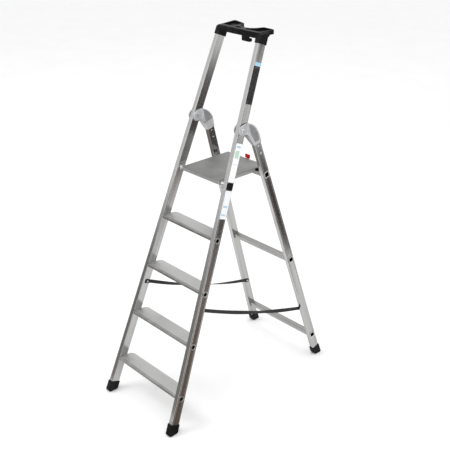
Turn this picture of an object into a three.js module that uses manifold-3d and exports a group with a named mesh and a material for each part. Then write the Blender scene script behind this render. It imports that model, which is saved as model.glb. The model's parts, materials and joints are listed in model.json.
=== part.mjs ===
// Folding platform step ladder: four treads and a platform between two leaning stiles, a rear frame
// hinged to them by cast forks, a tool tray on top. Millimetres, +Z up, the climber stands at -Y.
import * as THREE from 'three';
import { mergeVertices } from 'three/addons/utils/BufferGeometryUtils.js';
import Module from 'manifold-3d';

const wasm = await Module();
wasm.setup();

const degrees = Math.PI / 180;

// ---- driving dimensions ------------------------------------------------------------------------

const gap = 0.3; // left between pieces that touch
const frontLean = 21.7 * degrees; // front frame from the vertical, top away from the climber
const rearLean = 16.6 * degrees; // rear frame from the vertical, feet away from the climber
const taper = 3.36 * degrees; // each stile's lean inwards, seen square to its frame

const front = { half: 250.5, depth: 45, width: 23, wall: 2, from: 30, to: 1853 };
const rear = { half: 164.5, depth: 40, width: 23, wall: 2, offset: 46, from: -1390, to: -106.5 };
const hinge = { along: 1440, depth: 19, radius: 6 };

const tread = { first: 187, pitch: 250, count: 4, before: 20, behind: 60, top: 13, sheet: 2.4 };
const tube = { radius: 11, bore: 8.5, flare: 14.5 };
const bar = { first: 272, pitch: 502, count: 3, side: 25, wall: 2, flare: 31 };
const deck = { along: 1187, half: 128, before: 20, behind: 272, top: 18, sheet: 2.6, flange: 18 };
const axle = { radius: 6, tube: 9 };
const foot = { wall: 3.5, height: 46 };
const strap = { width: 18, thick: 1.2, frontAlong: 603, frontDepth: 28, rearAlong: 1105, sag: 20, tail: 13 };
const tray = { along: 1867, socket: 1826, half: 131, face: -7, bay: 36,
  bar: 27, lobe: 19, wall: 7, well: 11 };
const hook = { x0: 24, x1: 70, front: -6, back: 14, drop: 50, thick: 5 };

// ---- materials ---------------------------------------------------------------------------------

function finish(color, roughness, metalness) {
  return new THREE.MeshStandardMaterial({ color, roughness, metalness });
}

const finishes = {
  stile: () => finish(0xc4c3c0, 0.35, 0.9),
  tread: () => finish(0xbab9b6, 0.5, 0.8),
  deck: () => finish(0x8f8e8c, 0.55, 0.7),
  casting: () => finish(0x8d9399, 0.5, 0.8),
  steel: () => finish(0xb9bdc0, 0.3, 1),
  black: () => finish(0x1c1c1d, 0.6, 0),
  webbing: () => finish(0x141415, 0.9, 0),
  red: () => finish(0xc6282c, 0.45, 0),
  white: () => finish(0xe9edf2, 0.5, 0),
  brand: () => finish(0x17181a, 0.4, 0),
  blue: () => finish(0xa9d3ea, 0.5, 0),
};

// ---- geometry tools ----------------------------------------------------------------------------

function closed(geometry) {
  const bare = geometry.clone();
  bare.deleteAttribute('normal');
  bare.deleteAttribute('uv');
  const merged = mergeVertices(bare, 1e-3);
  const index = merged.index.array;
  const kept = [];
  for (let i = 0; i < index.length; i += 3) {
    const [a, b, c] = [index[i], index[i + 1], index[i + 2]];
    if (a !== b && b !== c && c !== a) kept.push(a, b, c);
  }
  merged.setIndex(kept);
  return merged;
}

function solid(geometry) {
  const merged = closed(geometry);
  const mesh = new wasm.Mesh({
    numProp: 3,
    vertProperties: new Float32Array(merged.attributes.position.array),
    triVerts: new Uint32Array(merged.index.array),
  });
  return new wasm.Manifold(mesh);
}

function surface(manifold) {
  const mesh = manifold.getMesh();
  const geometry = new THREE.BufferGeometry();
  geometry.setAttribute('position', new THREE.BufferAttribute(mesh.vertProperties, 3));
  geometry.setIndex(new THREE.BufferAttribute(mesh.triVerts, 1));
  geometry.computeVertexNormals();
  return geometry;
}

function cut(base, ...tools) {
  let result = solid(base);
  for (const tool of tools) result = result.subtract(solid(tool));
  return surface(result);
}

function join(base, ...others) {
  let result = solid(base);
  for (const other of others) result = result.add(solid(other));
  return surface(result);
}

function common(a, b) {
  return surface(solid(a).intersect(solid(b)));
}

function mirrored(geometry) {
  const copy = closed(geometry).applyMatrix4(new THREE.Matrix4().makeScale(-1, 1, 1));
  const index = copy.index.array;
  for (let i = 0; i < index.length; i += 3) [index[i], index[i + 1]] = [index[i + 1], index[i]];
  copy.computeVertexNormals();
  return copy;
}

function outline(points) {
  return new THREE.Shape(points.map(([x, y]) => new THREE.Vector2(x, y)));
}

function roundedRect(x0, y0, x1, y1, r) {
  const shape = new THREE.Shape();
  shape.moveTo(x0 + r, y0);
  shape.lineTo(x1 - r, y0);
  shape.absarc(x1 - r, y0 + r, r, -Math.PI / 2, 0);
  shape.lineTo(x1, y1 - r);
  shape.absarc(x1 - r, y1 - r, r, 0, Math.PI / 2);
  shape.lineTo(x0 + r, y1);
  shape.absarc(x0 + r, y1 - r, r, Math.PI / 2, Math.PI);
  shape.lineTo(x0, y0 + r);
  shape.absarc(x0 + r, y0 + r, r, Math.PI, Math.PI * 1.5);
  return shape;
}

// A shape drawn in (y, z) and swept from x0 to x1.
function alongX(shape, x0, x1, curveSegments = 3) {
  const geometry = new THREE.ExtrudeGeometry(shape, { depth: x1 - x0, bevelEnabled: false, curveSegments });
  const basis = new THREE.Matrix4().makeBasis(
    new THREE.Vector3(0, 1, 0), new THREE.Vector3(0, 0, 1), new THREE.Vector3(1, 0, 0));
  return geometry.applyMatrix4(basis).translate(x0, 0, 0);
}

// A shape drawn in (x, z) and swept from y0 to y1.
function alongY(shape, y0, y1, curveSegments = 3) {
  const geometry = new THREE.ExtrudeGeometry(shape, { depth: y1 - y0, bevelEnabled: false, curveSegments });
  return geometry.rotateX(Math.PI / 2).translate(0, y1, 0);
}

// A shape drawn in (x, y) and swept from z0 to z1.
function alongZ(shape, z0, z1, curveSegments = 3) {
  const geometry = new THREE.ExtrudeGeometry(shape, { depth: z1 - z0, bevelEnabled: false, curveSegments });
  return geometry.translate(0, 0, z0);
}

function rod(radius, x0, x1, y, z, sides = 14) {
  const geometry = new THREE.CylinderGeometry(radius, radius, x1 - x0, sides);
  return geometry.rotateZ(-Math.PI / 2).translate((x0 + x1) / 2, y, z);
}

// A profile of [radius, x] turned about the X axis.
function turned(points, y, z, sides = 12) {
  const profile = points.map(([radius, x]) => new THREE.Vector2(radius, x));
  return new THREE.LatheGeometry(profile, sides).rotateZ(-Math.PI / 2).translate(0, y, z);
}

function block(x0, y0, z0, x1, y1, z1) {
  return new THREE.BoxGeometry(x1 - x0, y1 - y0, z1 - z0)
    .translate((x0 + x1) / 2, (y0 + y1) / 2, (z0 + z1) / 2);
}

// ---- frames ------------------------------------------------------------------------------------
// Front frame: x, d rearwards from the stiles' front faces, v upwards along the frame.
// Rear frame: x, d rearwards and w upwards along the frame, from the hinge axis.

const frontHalf = (v) => front.half - v * Math.tan(taper);
const frontInner = (v) => frontHalf(v) - front.width / Math.cos(taper);
const rearHalf = (w) => rear.half - w * Math.tan(taper);
const rearInner = (w) => rearHalf(w) - rear.width / Math.cos(taper);
const middle = front.depth / 2;
const rearMiddle = rear.offset + rear.depth / 2;
const treadAlong = (k) => tread.first + k * tread.pitch;
const barAlong = (k) => -(bar.first + k * bar.pitch);

const hingeY = hinge.along * Math.sin(frontLean) + hinge.depth * Math.cos(frontLean);
const hingeZ = hinge.along * Math.cos(frontLean) - hinge.depth * Math.sin(frontLean);
const deckY = deck.along * Math.sin(frontLean) + middle * Math.cos(frontLean);
const deckZ = deck.along * Math.cos(frontLean) - middle * Math.sin(frontLean);

// The floor seen in each frame: the height along the frame at a given depth.
const frontFloor = (d) => d * Math.tan(frontLean);
const rearFloor = (d) => -(hingeZ + d * Math.sin(rearLean)) / Math.cos(rearLean);

// Turns a piece drawn square to the right stile into the frame that the stile tapers in.
function tapered(geometry, half) {
  return geometry.rotateY(-taper).translate(half, 0, 0);
}

// Moves a piece drawn level into the leaning front frame.
function levelled(geometry, d, v) {
  return geometry.rotateX(frontLean).translate(0, d, v);
}

// ---- stiles ------------------------------------------------------------------------------------

// Hollow box extrusion with rounded corners and two drawn grooves in its outer face.
function stileSection(width, depth, wall) {
  const r = 2.5;
  const groove = 0.7;
  const [g0, g1] = [7, 9];
  const notch = [[g0, 0], [g0 + groove, -groove], [g1 - groove, -groove], [g1, 0]];
  const shape = new THREE.Shape();
  shape.moveTo(-width + r, 0);
  shape.lineTo(-r, 0);
  shape.absarc(-r, r, r, -Math.PI / 2, 0);
  for (const [d, x] of notch) shape.lineTo(x, d);
  for (const [d, x] of [...notch].reverse()) shape.lineTo(x, depth - d);
  shape.lineTo(0, depth - r);
  shape.absarc(-r, depth - r, r, 0, Math.PI / 2);
  shape.lineTo(-width + r, depth);
  shape.absarc(-width + r, depth - r, r, Math.PI / 2, Math.PI);
  shape.lineTo(-width, r);
  shape.absarc(-width + r, r, r, Math.PI, Math.PI * 1.5);
  shape.holes.push(outline([[-width + wall, wall], [-width + wall, depth - wall], [-wall, depth - wall],
    [-wall, wall]]));
  return shape;
}

const rivetHole = 2.8;

function frontStile() {
  const body = tapered(alongZ(stileSection(front.width, front.depth, front.wall), front.from, front.to, 2),
    front.half);
  const holes = [];
  for (let k = 0; k < tread.count; k += 1) {
    holes.push(rod(tube.radius + gap, 100, 300, middle, treadAlong(k)));
  }
  holes.push(rod(plug.shank + gap, 100, 300, middle, deck.along));
  holes.push(rod(bush.radius + gap, 100, 300, hinge.depth, hinge.along));
  holes.push(rod(rivetHole, 100, frontHalf(strap.frontAlong) - 8, strap.frontDepth, strap.frontAlong, 8));
  return cut(body, ...holes);
}

function rearStile() {
  const section = stileSection(rear.width, rear.depth, rear.wall);
  const body = tapered(alongZ(section, rear.from, rear.to, 2), rear.half).translate(0, rear.offset, 0);
  const holes = [];
  const s = bar.side / 2 + gap;
  for (let k = 0; k < bar.count; k += 1) {
    const w = barAlong(k);
    holes.push(block(100, rearMiddle - s, w - s, 300, rearMiddle + s, w + s));
  }
  for (const [d, w] of castingRivets) holes.push(rod(rivetHole, 100, 300, d, w, 8));
  holes.push(rod(rivetHole, 100, rearHalf(-strap.rearAlong) - 8, rearMiddle, -strap.rearAlong, 8));
  return cut(body, ...holes);
}

// ---- treads ------------------------------------------------------------------------------------

// Keeps what lies between the front stiles' inner faces.
function betweenStiles(clearance) {
  const [v0, v1] = [-100, 2000];
  const [a, b] = [frontInner(v0) - clearance, frontInner(v1) - clearance];
  return alongY(outline([[-a, v0], [a, v0], [b, v1], [-b, v1]]), -80, 160);
}

// Tread extrusion: ribbed plate, front lip, a tube for the stiles' holes, a stiffener and a rear lip.
function treadProfile() {
  const { before, behind, top, sheet } = tread;
  const ribs = { height: 0.9, pitch: 10, foot: 4.4, crest: 2.2 };
  const points = [[-before + 3, top]];
  for (let y = -before + 8; y < behind - 6; y += ribs.pitch) {
    points.push([y - ribs.foot / 2, top], [y - ribs.crest / 2, top + ribs.height]);
    points.push([y + ribs.crest / 2, top + ribs.height], [y + ribs.foot / 2, top]);
  }
  points.push([behind - 1.5, top], [behind, top - 1.5], [behind, -3], [behind - 2.2, -3]);
  points.push([behind - 2.2, top - sheet], [40, top - sheet], [39.4, 2], [37.6, 2], [37, top - sheet]);
  points.push([-before + 2.6, top - sheet], [-before + 2.6, 0], [-before, 0], [-before, top - 3]);
  points.push([-before + 0.9, top - 0.9]);
  return outline(points.reverse());
}

function treadBody(k) {
  const v = treadAlong(k);
  const reach = frontHalf(v);
  const corner = 19; // cut off each rear corner
  const level = alongX(treadProfile(), -reach, reach);
  const trims = [1, -1].map((side) => {
    const end = frontInner(v);
    const plan = outline([[end - corner, tread.behind + 1], [end + 12, tread.behind - corner - 11],
      [end + 12, tread.behind + 1]]);
    const trim = alongZ(plan, -20, 30);
    return side > 0 ? trim : mirrored(trim);
  });
  const plate = common(levelled(cut(level, ...trims), middle, v), betweenStiles(gap));
  const lip = reach + gap + 1.2;
  const ring = rod(tube.flare, -0.9, 0.9, 0, 0, 14).rotateY(-taper).translate(reach + gap + 0.9, middle, v);
  const mouth = new THREE.CylinderGeometry(tube.bore + 2.2, tube.bore - 0.2, 4, 14).rotateZ(-Math.PI / 2);
  mouth.translate(reach + 0.6, middle, v);
  const whole = join(plate, rod(tube.radius, -lip, lip, middle, v), ring, mirrored(ring));
  return cut(whole, rod(tube.bore, -reach - 9, reach + 9, middle, v), mouth, mirrored(mouth));
}

// ---- feet --------------------------------------------------------------------------------------

// Side view of a moulded foot: straight sides, a curved sole with a flat where it meets the floor.
function footProfile(d0, d1, top, floor, rise) {
  const span = d1 - d0;
  const [s0, s1] = [d0 + span * 0.28, d1 - span * 0.22];
  const shape = new THREE.Shape();
  shape.moveTo(d0, top);
  shape.lineTo(d0, floor(d0) + rise);
  shape.quadraticCurveTo(d0 + 4, floor(d0 + 6) + 0.5, s0, floor(s0));
  shape.lineTo(s1, floor(s1));
  shape.quadraticCurveTo(d1 - 3, floor(d1 - 4) + 0.5, d1, floor(d1) + rise * 0.6);
  shape.lineTo(d1, top);
  return shape;
}

function footBody(section, half, offset, d0, d1, top, floor, stileEnd) {
  const side = alongX(footProfile(d0, d1, top, floor, 12), 100, 300, 4);
  const span = foot.wall;
  const sleeve = roundedRect(-section.width - span, offset - span, span, offset + section.depth + span, 3.5);
  const outer = common(side, tapered(alongZ(sleeve, top - 90, top + 30, 2), half));
  const [near, far] = [offset - gap, offset + section.depth + gap];
  const well = block(-section.width - gap, near, stileEnd - gap, gap, far, top + 40);
  return cut(outer, tapered(well, half));
}

const frontFoot = () => footBody(front, front.half, 0, -foot.wall, front.depth + foot.wall,
  frontFloor(middle) + foot.height + 4, frontFloor, front.from);
const rearFoot = () => footBody(rear, rear.half, rear.offset, rear.offset - foot.wall,
  rear.offset + rear.depth + foot.wall, rearFloor(rearMiddle) + foot.height, rearFloor, rear.from);

// ---- hinges ------------------------------------------------------------------------------------

const bush = { radius: 8.7 };
const cheek = { outer: 173, outerIn: 168.6, innerIn: 140.2, inner: 136, eye: 24 };
const castingRivets = [[64, -117], [66, -156]];
const castEnd = -106;

// Side view of the cast fork, in (d, w): an eye round the hinge, an arch over to the rear stile.
function castingOutline() {
  const shape = new THREE.Shape();
  shape.moveTo(rear.offset - 1.5, castEnd);
  shape.lineTo(rear.offset + rear.depth + 2, castEnd);
  shape.lineTo(rear.offset + rear.depth + 2, -72);
  shape.bezierCurveTo(86, -12, 50, 27, 2, 25.5);
  shape.absarc(0, 0, cheek.eye, 86 * degrees, 282 * degrees, false);
  shape.quadraticCurveTo(17, -25, 22, -36);
  return shape;
}

// The sunk panel that leaves a rim round the arch and a rib beside the eye.
function castingPanel() {
  const shape = new THREE.Shape();
  shape.moveTo(54, castEnd + 14);
  shape.lineTo(81, castEnd + 14);
  shape.lineTo(81, -70);
  shape.bezierCurveTo(79, -30, 62, -2, 43, 9);
  shape.lineTo(38, -36);
  return shape;
}

function castingBody() {
  const body = alongX(castingOutline(), cheek.inner, cheek.outer, 8);
  // The inner side draws in from the fork to the rear stile's inner face.
  const plan = outline([[cheek.inner - 1, 60], [cheek.outer + 4, 60], [cheek.outer + 4, castEnd - 4],
    [rearInner(castEnd) - 2, castEnd - 4], [rearInner(castEnd) - 2, castEnd + 8], [cheek.inner - 1, -34]]);
  const shaped = common(body, alongY(plan, -60, 120));
  // The slot that straddles the front stile through the whole fold.
  const clear = front.depth - hinge.depth + 1.2;
  const slot = outline([[-60, -140], [clear, -140], [clear, -8], [clear + 45, 48], [-60, 48]]);
  const panel = alongX(castingPanel(), cheek.outer - 2.4, cheek.outer + 5, 6);
  const innerPanel = alongX(castingPanel(), 100, cheek.inner + 2.4, 6);
  const eyeBoss = rod(19, cheek.outer - 1, cheek.outer + 1.2, 0, 0, 20);
  const innerBoss = rod(19, cheek.inner - 1, cheek.inner + 1, 0, 0, 20);
  const t = front.wall + gap;
  const [near, far] = [rear.offset + t, rear.offset + rear.depth - t];
  const tongue = block(-rear.width + t, near, castEnd - 76, -t, far, castEnd + 6);
  const rivets = castingRivets.map(([d, w]) => rod(rivetHole, 100, 300, d, w, 8));
  const whole = join(shaped, eyeBoss, innerBoss, tapered(tongue, rear.half));
  const bore = rod(hinge.radius + gap, 100, 300, 0, 0);
  return cut(whole, alongX(slot, cheek.innerIn, cheek.outerIn), panel, innerPanel, bore, ...rivets);
}

// Rivet-headed hinge bolt and the nut on its inner end, on the hinge axis of the front frame.
const boltHead = cheek.outer + 1.2 + gap;
const nutFace = cheek.inner - 1 - gap;
const nutThick = 4;

function hingeBolt() {
  const tail = nutFace - 2.6;
  const profile = [[0, tail], [hinge.radius, tail], [hinge.radius, boltHead], [10, boltHead],
    [10, boltHead + 1.4], [8.6, boltHead + 3], [5.2, boltHead + 4], [0, boltHead + 4.4]];
  return turned(profile, hinge.depth, hinge.along);
}

function hingeNut() {
  const hex = rod(9.5, nutFace - nutThick, nutFace, hinge.depth, hinge.along, 6);
  const core = rod(hinge.radius + gap, nutFace - 3, nutFace + 1, hinge.depth, hinge.along);
  return cut(hex, core);
}

function hingeBush() {
  const inset = 1.2;
  const body = rod(bush.radius, frontInner(hinge.along) + inset, frontHalf(hinge.along) - inset,
    hinge.depth, hinge.along);
  return cut(body, rod(hinge.radius + gap, 100, 300, hinge.depth, hinge.along));
}

// Blind rivets that hold the casting's tongue in the rear stile: a dome outside, an upset end inside.
function castingRivet([d, w]) {
  const face = rearHalf(w) + gap + 0.5;
  const back = rearInner(w) - gap - 0.5;
  return turned([[0, back - 1.6], [4, back - 1.2], [4, back], [2.4, back], [2.4, face], [5, face],
    [3.6, face + 1.8], [0, face + 2.4]], d, w, 10);
}

// ---- rear crossbars ----------------------------------------------------------------------------

function crossbar(k) {
  const w = barAlong(k);
  const s = bar.side / 2;
  const f = bar.flare / 2;
  const reach = rearHalf(w);
  const bore = s - bar.wall;
  const tubeLength = reach + gap + 1.4;
  const section = roundedRect(rearMiddle - s, w - s, rearMiddle + s, w + s, 1.5);
  const body = alongX(section, -tubeLength, tubeLength, 1);
  const ringShape = roundedRect(-f, -f, f, f, 4);
  const outerRing = alongX(ringShape, 0, 1.8, 1).rotateY(-taper).translate(reach + gap, rearMiddle, w);
  const innerFace = rearInner(w) - gap;
  const innerRing = alongX(ringShape, -2.5, 0, 1).rotateY(-taper).translate(innerFace, rearMiddle, w);
  const mouth = new THREE.CylinderGeometry((bore + 2.4) * Math.SQRT2, (bore - 0.4) * Math.SQRT2, 5, 4, 1);
  mouth.rotateY(Math.PI / 4).rotateZ(-Math.PI / 2).translate(reach, rearMiddle, w);
  const whole = join(body, outerRing, mirrored(outerRing), innerRing, mirrored(innerRing));
  const core = block(-300, rearMiddle - bore, w - bore, 300, rearMiddle + bore, w + bore);
  return cut(whole, core, mouth, mirrored(mouth));
}

// ---- platform (level, from its pivot axis) -----------------------------------------------------

const plug = { shank: 12, head: 3, wide: 33, tall: 30, depth: 13 };
const lugs = { x: 13, thick: 2.5 };
const latchPin = { y: 260, z: 4, radius: 2.6 };
const barCentre = levelBarCentre();

// The top crossbar's centre, level and seen from the platform's pivot.
function levelBarCentre() {
  const w = barAlong(0);
  const y = hingeY + rearMiddle * Math.cos(rearLean) - w * Math.sin(rearLean);
  const z = hingeZ + rearMiddle * Math.sin(rearLean) + w * Math.cos(rearLean);
  return { y: y - deckY, z: z - deckZ };
}

function platformDeck() {
  const { half, before, behind, top, sheet, flange } = deck;
  const bottom = top - flange;
  const shell = new THREE.ExtrudeGeometry(roundedRect(-half + 2, -before + 2, half - 2, behind - 2, 4),
    { depth: flange - 4, bevelThickness: 2, bevelSize: 2, bevelSegments: 2, curveSegments: 2 });
  shell.translate(0, 0, bottom + 2);
  const hollow = block(-half + sheet, -before + sheet, bottom - 9, half - sheet, behind - sheet, top - sheet);
  const skirt = block(-half - 9, -before - 9, bottom - 5, half + 9, behind + 9, bottom + 2);
  const square = alongZ(roundedRect(-half, -before, half, behind, 5), bottom, bottom + 3, 2);
  const pan = cut(join(cut(shell, skirt), square), hollow);
  const pivotTube = rod(axle.tube, -half, half, 0, 0, 18);
  const tubeWeb = block(-half + 1, -1.5, axle.tube - 2, half - 1, 1.5, top - 1);
  const stiffeners = [70, 130, 190].map((y) => block(-half + 1, y, top - 12, half - 1, y + 2.2, top - 1));
  const lug = block(lugs.x, latchPin.y - 8, latchPin.z - 6, lugs.x + lugs.thick, latchPin.y + 8, top - 1);
  const whole = join(pan, pivotTube, tubeWeb, ...stiffeners, lug, mirrored(lug));
  const [notchFrom, notchTo] = [barCentre.y - 23, barCentre.y + 26];
  const notch = block(-half - 5, notchFrom, bottom - 5, half + 5, notchTo, top - sheet);
  const inside = half - sheet - 0.4;
  const keep = block(-inside, notchFrom - 7, bottom - 9, inside, notchTo + 14, top + 9);
  const notches = surface(solid(notch).subtract(solid(keep)));
  const slotForArm = block(-9, behind - 8, bottom - 1, 9, behind + 1, bottom + 3);
  return cut(whole, notches, rod(axle.radius + gap, -half - 9, half + 9, 0, 0),
    rod(latchPin.radius + gap, -60, 60, latchPin.y, latchPin.z, 12), slotForArm);
}

function platformAxle() {
  const reach = frontHalf(deck.along) - 6;
  return rod(axle.radius, -reach, reach, 0, 0, 16);
}

// Square-headed plastic plug that bushes the axle in the stile.
function pivotPlug() {
  const face = frontHalf(deck.along);
  const { wide, tall } = plug;
  const square = roundedRect(-wide / 2 + 1, -tall / 2 + 1, wide / 2 - 1, tall / 2 - 1, 5);
  const head = new THREE.ExtrudeGeometry(square,
    { depth: plug.head - 1.2, bevelThickness: 0.6, bevelSize: 1, bevelSegments: 1, curveSegments: 2 });
  const basis = new THREE.Matrix4().makeBasis(
    new THREE.Vector3(0, 1, 0), new THREE.Vector3(0, 0, 1), new THREE.Vector3(1, 0, 0));
  head.applyMatrix4(basis).translate(gap + 0.6, 0, 0).rotateY(-taper).translate(face, middle, deck.along);
  const shank = rod(plug.shank, frontInner(deck.along) + 1, face + 1.5, middle, deck.along);
  const bore = rod(axle.radius + gap, 100, face - 5, middle, deck.along);
  return cut(join(head, shank), bore);
}

function pivotSpacer() {
  const inner = frontInner(deck.along);
  const [from, to] = [deck.half + gap, inner - gap - 0.9];
  const profile = [[0, from], [11.5, from], [11.5, from + 5], [10, from + 7],
    [10, to - 5], [12, to - 3], [12, to], [0, to]];
  const body = turned(profile, middle, deck.along, 14);
  return cut(body, rod(axle.radius + gap, 100, 300, middle, deck.along));
}

// Plastic hook that seats the platform on the top crossbar: a wedge pad above it, a claw behind it.
function platformSaddle() {
  const { y, z } = barCentre;
  const s = bar.side / 2 + 0.5;
  const corner = (a, b) => [y + a * s * Math.cos(rearLean) - b * s * Math.sin(rearLean),
    z + a * s * Math.sin(rearLean) + b * s * Math.cos(rearLean)];
  const roof = deck.top - deck.sheet - gap;
  const [topRear, topFront, lowRear] = [corner(1, 1), corner(-1, 1), corner(1, -0.9)];
  const shape = outline([[y - 20, roof], [y - 20, topFront[1] - 1.2], topFront, topRear, lowRear,
    [lowRear[0] + 3, lowRear[1] - 3], [lowRear[0] + 7, lowRear[1]], [y + 23, roof]].reverse());
  return alongX(shape, deck.half - 28, deck.half + 1.5);
}

// Red thumb lever of the platform catch: nose behind the crossbar, arm under the rear flange, thumb tab.
function latchLever() {
  const { y, z } = latchPin;
  const shape = new THREE.Shape();
  shape.moveTo(y - 12.2, z - 8.5);
  shape.lineTo(y - 10.5, z - 11.5);
  shape.lineTo(y - 2, z - 16);
  shape.lineTo(y + 17, z - 17);
  shape.quadraticCurveTo(y + 22.5, z - 17, y + 22.8, z - 10);
  shape.lineTo(y + 24.5, z + 27);
  shape.quadraticCurveTo(y + 23, z + 31, y + 19.5, z + 29);
  shape.lineTo(y + 17, z - 10.5);
  shape.lineTo(y + 5, z - 9.5);
  shape.lineTo(y + 5.6, z + 1);
  shape.absarc(y, z, 6, 10 * degrees, 190 * degrees, false);
  shape.lineTo(y - 11, z - 6);
  const arm = alongX(shape, -7, 7, 4);
  const pad = alongX(roundedRect(y + 18.5, z + 12, y + 24.5, z + 30, 2), -14, 14, 2);
  const grips = [16, 20, 24].map((up) => alongX(outline([[y + 24, z + up - 0.8], [y + 25.6, z + up],
    [y + 24, z + up + 0.8]]), -12, 12));
  return cut(join(arm, pad, ...grips), rod(latchPin.radius + gap, -60, 60, y, z, 12));
}

function latchPinBody() {
  const end = lugs.x + lugs.thick + gap;
  const r = latchPin.radius;
  return turned([[0, -end - 1.6], [r + 1.4, -end - 1.6], [r + 1.4, -end], [r, -end], [r, end], [r + 1.4, end],
    [r + 1.4, end + 1.6], [0, end + 1.6]], latchPin.y, latchPin.z, 12);
}

// Torsion spring beside the lever's hub.
class Helix extends THREE.Curve {
  constructor(radius, x0, x1, turns) {
    super();
    Object.assign(this, { radius, x0, x1, turns });
  }

  getPoint(t, target = new THREE.Vector3()) {
    const angle = t * this.turns * Math.PI * 2;
    return target.set(this.x0 + (this.x1 - this.x0) * t,
      latchPin.y + this.radius * Math.cos(angle), latchPin.z + this.radius * Math.sin(angle));
  }
}

function latchSpring() {
  const wire = new THREE.Shape();
  wire.absarc(0, 0, 0.6, 0, Math.PI * 2);
  return new THREE.ExtrudeGeometry(wire,
    { extrudePath: new Helix(4.2, 8.2, 12, 2.5), steps: 20, curveSegments: 3, bevelEnabled: false });
}

// ---- straps ------------------------------------------------------------------------------------

const frontPoint = (d, v) => [v * Math.sin(frontLean) + d * Math.cos(frontLean),
  v * Math.cos(frontLean) - d * Math.sin(frontLean)];
const rearPoint = (d, w) => [hingeY + d * Math.cos(rearLean) - w * Math.sin(rearLean),
  hingeZ + d * Math.sin(rearLean) + w * Math.cos(rearLean)];
const frontAlongOf = (y, z) => y * Math.sin(frontLean) + z * Math.cos(frontLean);
const rearAlongOf = (y, z) => (z - hingeZ) * Math.cos(rearLean) - (y - hingeY) * Math.sin(rearLean);

// Side view of a strap: level with its two rivets, straight over the stiles, sagging between them.
function strapRoute() {
  const [y0, z0] = frontPoint(strap.frontDepth, strap.frontAlong);
  const [y1, z1] = rearPoint(rearMiddle, -strap.rearAlong);
  const length = Math.hypot(y1 - y0, z1 - z0);
  const along = [(y1 - y0) / length, (z1 - z0) / length];
  const held = 24; // lies against the stile on each side of its rivet
  const place = (s) => {
    const t = Math.min(Math.max((s - held) / (length - 2 * held), 0), 1);
    const drop = strap.sag * 4 * t * (1 - t);
    return [y0 + along[0] * s, z0 + along[1] * s - drop];
  };
  const stations = [-strap.tail, held];
  for (let i = 1; i < 10; i += 1) stations.push(held + (length - 2 * held) * i / 10);
  stations.push(length - held, length + strap.tail);
  return { points: stations.map(place), along, ends: [[y0, z0], [y1, z1]], held };
}

function strapBand() {
  const { points, along, ends, held } = strapRoute();
  const half = strap.width / 2;
  const across = [-along[1] * half, along[0] * half];
  const upper = points.map(([y, z]) => [y + across[0], z + across[1]]);
  const lower = points.map(([y, z]) => [y - across[0], z - across[1]]);
  const band = alongX(outline([...lower, ...upper.reverse()]), -strap.thick / 2, strap.thick / 2);
  const position = band.attributes.position;
  const [from, to] = [ends[0][0] + held, ends[1][0] - held];
  for (let i = 0; i < position.count; i += 1) {
    const [y, z] = [position.getY(i), position.getZ(i)];
    const t = Math.min(Math.max((y - from) / (to - from), 0), 1);
    const face = frontInner(frontAlongOf(y, z)) * (1 - t) + rearInner(rearAlongOf(y, z)) * t;
    position.setX(i, position.getX(i) + face - strap.thick / 2 - gap - 0.1);
  }
  const holes = ends.map(([y, z]) => rod(rivetHole, 100, 300, y, z, 8));
  return cut(band, ...holes);
}

// Plastic end tab over the strap's end, drawn square to the stile's inner face.
function strapTab(d, s, width, tilt) {
  const back = -width - strap.thick - 2 * gap - 0.1;
  const plate = alongX(roundedRect(-11, -10, 11, 10, 3), back - 1.6, back, 1).rotateX(tilt);
  return cut(plate.translate(0, d, s), rod(rivetHole, -60, 0, d, s, 8));
}

function strapRivet(d, s, width) {
  const face = -width - strap.thick - 3 * gap - 1.7;
  return turned([[0, face - 2.6], [3.6, face - 1.9], [5, face], [2.3, face], [2.3, -width + 4],
    [0, -width + 4]], d, s, 10);
}

// Where a piece that is drawn square to a tapered stile sits along it.
const frontStation = strap.frontAlong / Math.cos(taper) + front.width * Math.tan(taper);
const rearStation = -strap.rearAlong / Math.cos(taper) + rear.width * Math.tan(taper);

// ---- tool tray ---------------------------------------------------------------------------------
// Drawn level, from the middle of the front faces' line at the tray's height.

// Plan: a bar across the stiles, a wide lobe behind the left one, a short lobe behind the right one.
function trayPlan() {
  const { half, face, bay } = tray;
  const shape = new THREE.Shape();
  shape.moveTo(-half + 9, face);
  shape.lineTo(half - 9, face);
  shape.quadraticCurveTo(half, face, half, face + 9);
  shape.lineTo(half + 4, 76);
  shape.quadraticCurveTo(half + 5, 92, half - 12, 93);
  shape.lineTo(72, 95);
  shape.quadraticCurveTo(61, 96, 58, 84);
  shape.quadraticCurveTo(49, bay + 4, 14, bay);
  shape.lineTo(-14, bay);
  shape.quadraticCurveTo(-49, bay + 4, -57, 80);
  shape.quadraticCurveTo(-60, 94, -72, 97);
  shape.lineTo(-half - 2, 114);
  shape.quadraticCurveTo(-half - 20, 116, -half - 18, 100);
  shape.lineTo(-half, face + 9);
  shape.quadraticCurveTo(-half, face, -half + 9, face);
  return shape;
}

// The two wells follow the lobes a wall's width inside them.
function leftWell() {
  const { half, wall } = tray;
  const shape = new THREE.Shape();
  shape.moveTo(-66, 16);
  shape.quadraticCurveTo(-60, 16, -60, 24);
  shape.lineTo(-65, 82);
  shape.quadraticCurveTo(-66, 88, -74, 89);
  shape.lineTo(-half + 2, 104);
  shape.quadraticCurveTo(-half - 18 + wall, 107, -half - 18 + wall + 2, 94);
  shape.lineTo(-half + wall + 2, 22);
  shape.quadraticCurveTo(-half + wall + 3, 16, -half + wall + 9, 16);
  return shape;
}

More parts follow.
